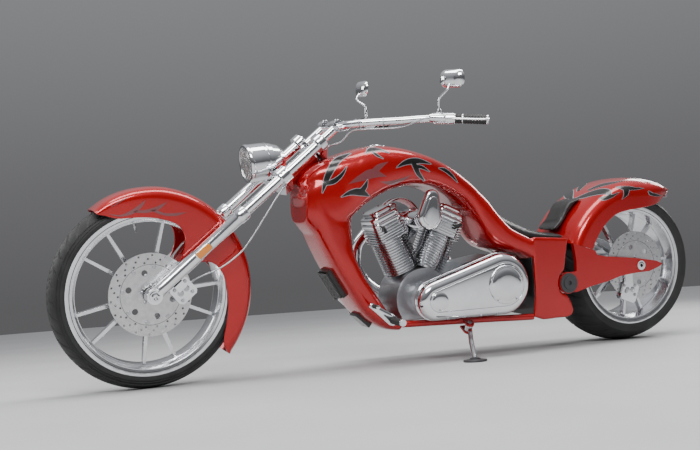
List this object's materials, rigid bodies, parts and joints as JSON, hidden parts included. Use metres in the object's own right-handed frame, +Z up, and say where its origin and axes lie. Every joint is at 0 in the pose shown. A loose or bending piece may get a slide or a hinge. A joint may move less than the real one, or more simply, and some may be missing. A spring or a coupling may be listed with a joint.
{
  "type": "chopper motorcycle",
  "caption": "Long raked chopper motorcycle leaning on its side stand, with turning wheels, steering and folding stand.",
  "frame": {"origin": "on the floor under the middle of the bounding box", "axes": "+X forward, +Y to the rider's left, +Z up; the motorcycle leans to +Y onto its side stand"},
  "size_m": [2.6975, 0.8932, 1.1767],
  "materials": {
    "red_paint": "glossy bright red, deep clear coat",
    "black_paint": "gloss black",
    "seat_leather": "soft black leather",
    "engine_alloy": "polished alloy",
    "chrome": "mirror chrome",
    "polished_rim": "polished alloy",
    "disc_steel": "turned steel",
    "tyre_rubber": "black road tyre",
    "black_rubber": "matt black rubber",
    "dark_metal": "satin dark grey",
    "red_lens": "clear red lens"
  },
  "bodies": {
    "frame": {"downtube_cover": "red_paint", "tank": "red_paint", "rear_cowl": "red_paint", "side_panels": "red_paint", "belly_rails": "red_paint", "neck": "red_paint", "seat_pad": "seat_leather", "seat_back": "seat_leather", "oil_tank": "black_paint", "crankcase": "engine_alloy", "cylinders": "engine_alloy", "cylinder_heads": "engine_alloy", "intake_cover": "chrome", "air_cleaner": "chrome", "primary_cover": "chrome", "transmission": "engine_alloy", "exhausts": "chrome", "regulator": "black_paint", "forward_controls": "chrome", "swingarm": "red_paint", "rear_fender": "red_paint", "pivot_caps": "dark_metal", "rear_axle": "chrome", "rear_caliper": "chrome", "tail_light": "red_lens", "drive_belt": "black_rubber"},
    "fork": {"triple_trees": "chrome", "fork_legs": "chrome", "handlebar": "chrome", "grips": "black_rubber", "hand_controls": "chrome", "mirrors": "chrome", "headlight": "chrome", "front_fender": "red_paint", "front_axle": "chrome", "front_caliper": "chrome", "control_lines": "disc_steel"},
    "front_wheel": {"front_tyre": "tyre_rubber", "front_rim": "polished_rim", "front_disc": "disc_steel"},
    "rear_wheel": {"rear_tyre": "tyre_rubber", "rear_rim": "polished_rim", "rear_disc": "disc_steel", "rear_pulley": "engine_alloy"},
    "stand": {"side_stand": "chrome"}
  },
  "joints": [
    {"name": "steering", "type": "hinge", "parent": "frame", "child": "fork", "pos_m": [0.42665, 0.00015, 0.75964], "axis": [-0.7694, 0.0612, 0.6358], "range_deg": [-34.6, 25.4]},
    {"name": "front_wheel_spin", "type": "hinge", "parent": "fork", "child": "front_wheel", "pos_m": [1.00991, -0.03688, 0.3366], "axis": [-0.0512, 0.9863, -0.157], "continuous": true},
    {"name": "rear_wheel_spin", "type": "hinge", "parent": "frame", "child": "rear_wheel", "pos_m": [-1.02, -0.04148, 0.32737], "axis": [0, 0.9954, -0.0958], "continuous": true},
    {"name": "side_stand_fold", "type": "hinge", "parent": "frame", "child": "stand", "pos_m": [-0.2, 0.08498, 0.1174], "axis": [0, 0.5446, 0.8387], "range_deg": [0, 80]}
  ]
}
